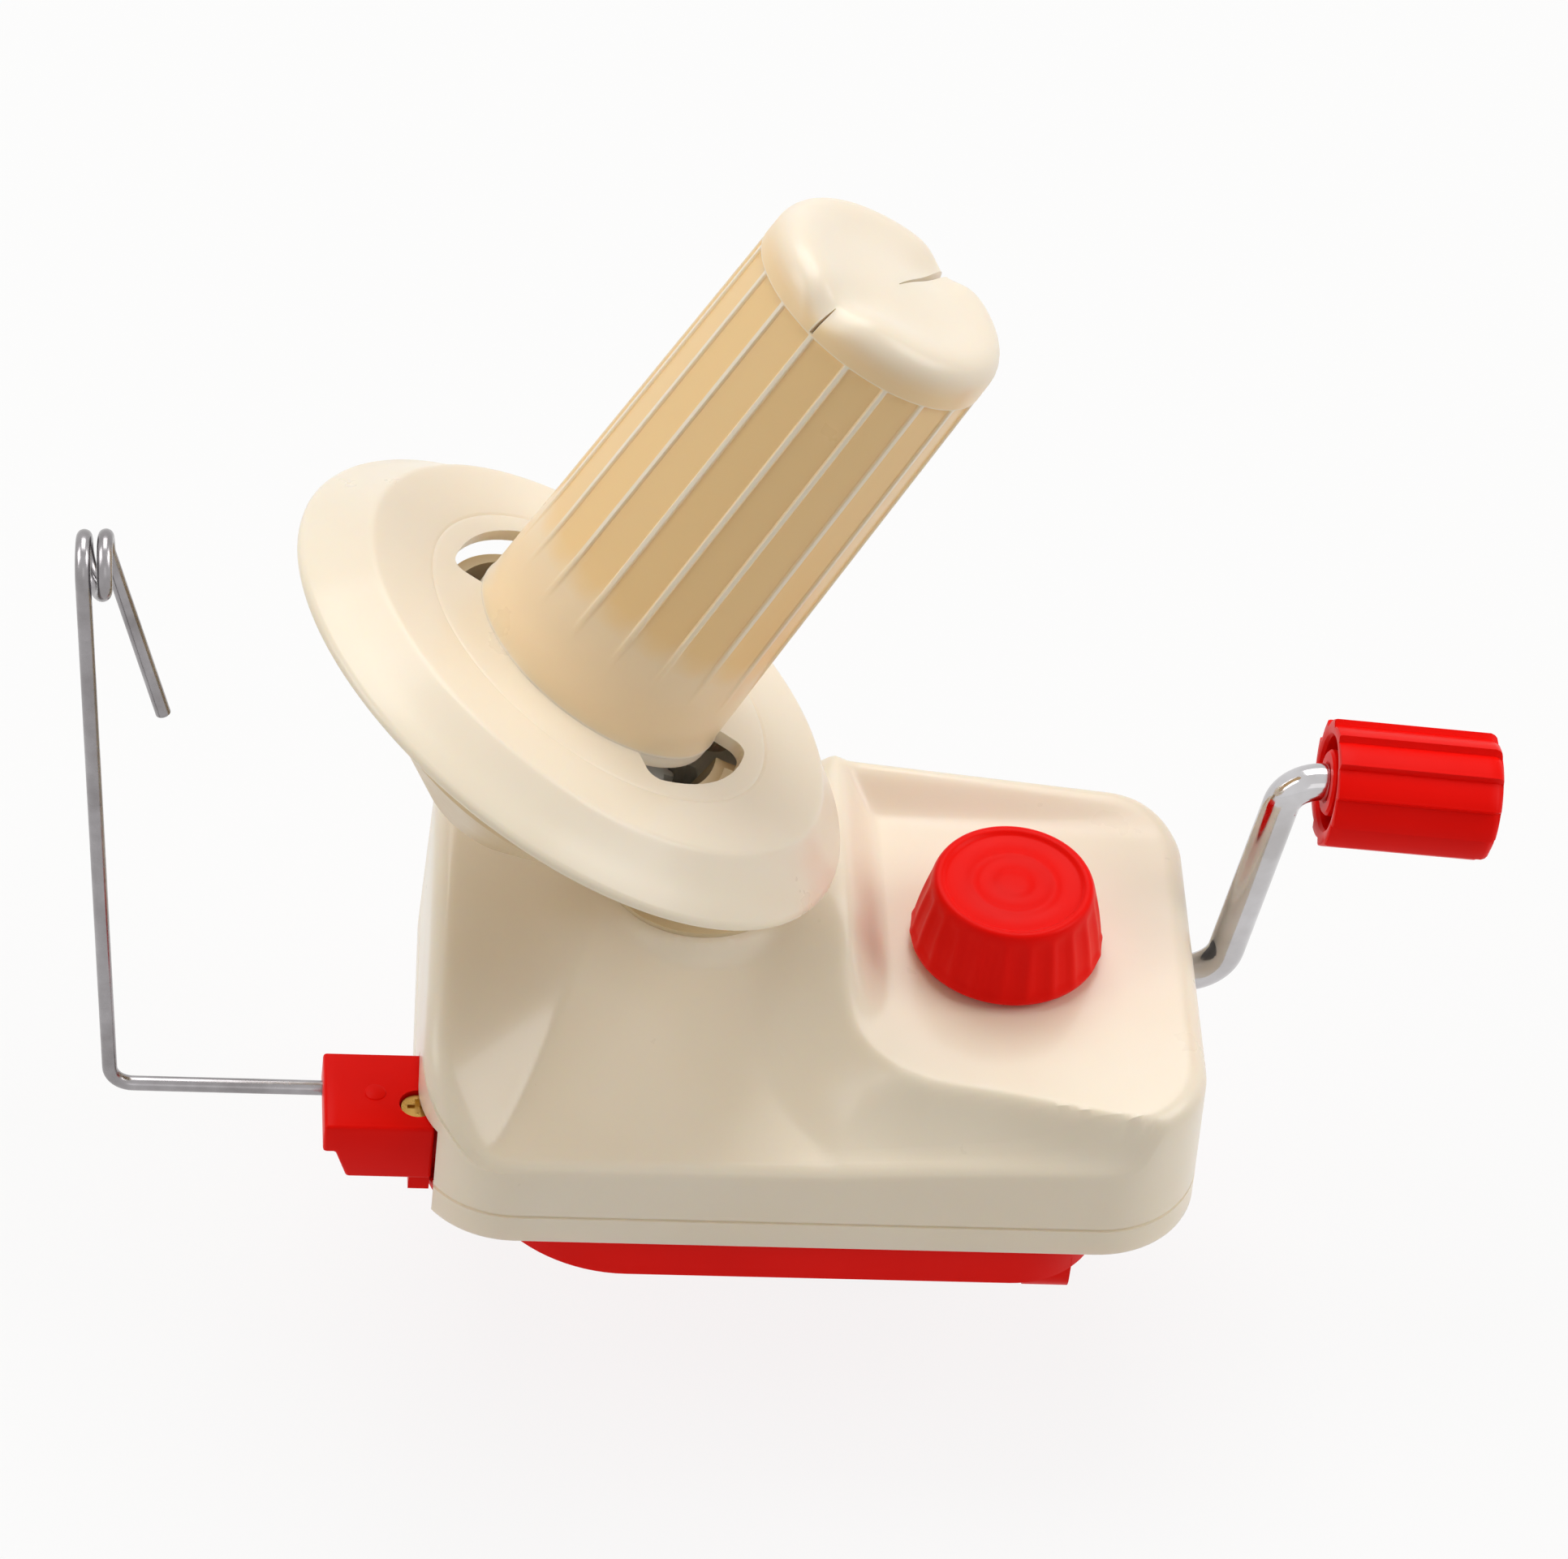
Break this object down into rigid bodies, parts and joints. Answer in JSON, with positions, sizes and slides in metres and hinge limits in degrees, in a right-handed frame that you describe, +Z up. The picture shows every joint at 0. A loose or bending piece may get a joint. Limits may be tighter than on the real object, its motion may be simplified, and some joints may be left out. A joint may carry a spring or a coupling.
{
  "type": "yarn ball winder",
  "caption": "Hand-cranked yarn ball winder: a crank drives a turning turret with a tilted, spinning spindle and disc; wire yarn guide with an eye, and a screw clamp for a table edge.",
  "frame": {"origin": "on the flat underside of the base, which seats on the table, on the turret's upright axis", "axes": "+X toward the crank, +Y to the back of the housing, +Z up, away from the table"},
  "size_m": [0.268, 0.1177, 0.2413],
  "materials": {
    "cream_plastic": "moulded gloss, cream",
    "beige_plastic": "moulded satin, beige",
    "red_plastic": "moulded gloss, bright red",
    "chromed_rod": "bright plated",
    "zinc_steel": "zinc plated",
    "spring_steel": "oiled spring steel",
    "brass_screw": "yellow passivated",
    "white_acetal": "natural acetal",
    "grey_bush": "self-lubricating plastic",
    "pad_rubber": "moulded rubber"
  },
  "bodies": {
    "housing": {"upper_shell": "cream_plastic", "base_cover": "red_plastic", "base_screws": "zinc_steel", "guide_bracket": "red_plastic", "bracket_screw": "brass_screw", "crank_bush": "grey_bush", "inner_bush": "grey_bush", "turret_bush": "beige_plastic", "sun_post": "zinc_steel", "sun_gear": "white_acetal", "knob_washer": "zinc_steel"},
    "crank": {"crank_rod": "chromed_rod", "crown_gear": "white_acetal", "gear_pin": "zinc_steel", "crank_clips": "spring_steel", "grip_clip": "spring_steel"},
    "grip": {"crank_grip": "red_plastic", "grip_cap": "red_plastic"},
    "turret": {"turret_cup": "beige_plastic", "turret_pinion": "white_acetal", "turret_ring": "spring_steel", "spindle_axle": "zinc_steel", "axle_clip": "spring_steel"},
    "spindle": {"winding_spindle": "cream_plastic", "winding_disc": "cream_plastic", "spindle_gear": "white_acetal", "disc_screws": "zinc_steel", "hub_bushes": "grey_bush"},
    "knob": {"clamp_knob": "red_plastic", "clamp_screw": "zinc_steel"},
    "clamp": {"clamp_jaw": "red_plastic", "jaw_pad": "pad_rubber"},
    "guide": {"guide_wire": "chromed_rod"}
  },
  "joints": [
    {"name": "crank_turn", "type": "hinge", "parent": "housing", "child": "crank", "pos_m": [0.09, 0, 0.0235], "axis": [1, 0, 0], "continuous": true},
    {"name": "grip_spin", "type": "hinge", "parent": "crank", "child": "grip", "pos_m": [0.12843, 0, 0.07349], "axis": [0.9963, 0, -0.0854], "continuous": true},
    {"name": "turret_turn", "type": "hinge", "parent": "housing", "child": "turret", "pos_m": [0, 0, 0.047], "axis": [0, 0, 1], "continuous": true},
    {"name": "spindle_spin", "type": "hinge", "parent": "turret", "child": "spindle", "pos_m": [-0.02331, -0.00572, 0.1064], "axis": [0.4958, 0.1218, 0.8599], "continuous": true},
    {"name": "knob_turn", "type": "hinge", "parent": "housing", "child": "knob", "pos_m": [0.0575, -0.012, 0.042], "axis": [0, 0, -1], "range_deg": [-1620, 3600]},
    {"name": "clamp_slide", "type": "slide", "parent": "housing", "child": "clamp", "axis": [0, 0, 1], "range_m": [-0.0091, 0.0201]},
    {"name": "guide_swivel", "type": "hinge", "parent": "housing", "child": "guide", "pos_m": [-0.07, -0.037, 0.0239], "axis": [1, 0, 0], "range_deg": [-90, 90]}
  ],
  "couplings": [
    {"joint": "turret_turn", "follows": "crank_turn", "ratio": -1.5},
    {"joint": "spindle_spin", "follows": "crank_turn", "ratio": -0.6},
    {"joint": "clamp_slide", "follows": "knob_turn", "m_per_rad": 0.00031831}
  ]
}
